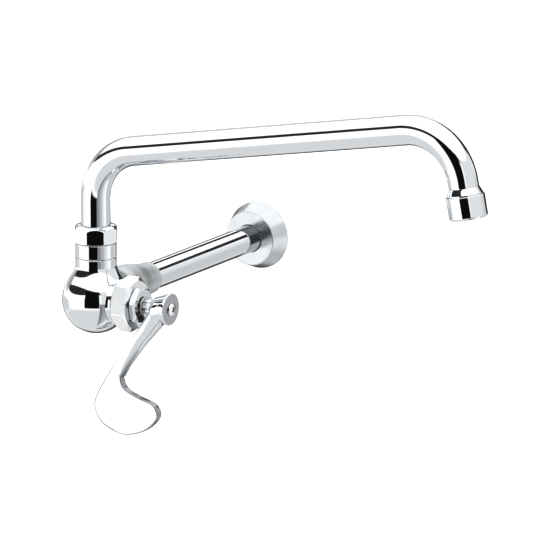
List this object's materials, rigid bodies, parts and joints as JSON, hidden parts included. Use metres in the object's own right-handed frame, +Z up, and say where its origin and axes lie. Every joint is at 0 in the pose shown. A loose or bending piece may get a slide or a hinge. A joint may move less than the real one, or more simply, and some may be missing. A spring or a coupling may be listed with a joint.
{
  "type": "wall-mounted swing-spout tap",
  "caption": "Wall-mounted kitchen tap with one inlet pipe, ball-shaped valve body, swivelling bent spout and a wrist-blade lever.",
  "frame": {"origin": "on the inlet pipe's axis at the wall face", "axes": "+Y into the wall along the inlet pipe, +Z up, +X along the lever's stem and the spout's arm at rest"},
  "size_m": [0.3512, 0.2823, 0.2663],
  "materials": {
    "chrome": "polished chrome plate on brass",
    "brass": "turned brass",
    "steel": "stainless steel",
    "ceramic": "ground alumina ceramic",
    "rubber": "black nitrile rubber",
    "ptfe": "white ptfe",
    "acetal": "white acetal"
  },
  "bodies": {
    "fixed": {"inlet_pipe": "chrome", "inlet_strainer": "steel", "valve_body": "chrome", "pipe_seal": "rubber", "seat_seal": "rubber", "cartridge_sleeve": "brass", "fixed_disc": "ceramic", "bonnet_ring": "chrome", "bonnet_nut": "chrome", "gland_nut": "chrome", "gland_packing": "ptfe", "adapter_washer": "rubber", "spout_adapter": "chrome", "swivel_nut": "chrome", "glide_ring": "ptfe"},
    "slip_flange": {"wall_flange": "chrome", "flange_o_ring": "rubber"},
    "lever": {"lever_handle": "chrome", "handle_screw": "steel", "valve_stem": "brass", "stem_circlip": "steel", "stem_o_ring_inner": "rubber", "stem_o_ring_outer": "rubber", "rotating_disc": "ceramic"},
    "spout": {"spout_tube": "chrome", "spout_ferrule": "brass", "spout_o_ring_lower": "rubber", "spout_o_ring_upper": "rubber", "outlet_nipple": "chrome", "nozzle_shell": "chrome", "aerator_gasket": "rubber", "aerator_screen": "steel", "aerator_insert": "acetal"}
  },
  "joints": [
    {"name": "spout_swing", "type": "hinge", "parent": "fixed", "child": "spout", "pos_m": [0, -0.237, 0.0529], "axis": [0, 0, 1], "range_deg": [-220, 40]},
    {"name": "lever_turn", "type": "hinge", "parent": "fixed", "child": "lever", "pos_m": [0.05, -0.237, -0.001], "axis": [1, 0, 0], "range_deg": [-90, 0]},
    {"name": "flange_slip", "type": "slide", "parent": "fixed", "child": "slip_flange", "axis": [0, 1, 0], "range_m": [-0.06, 0]}
  ]
}
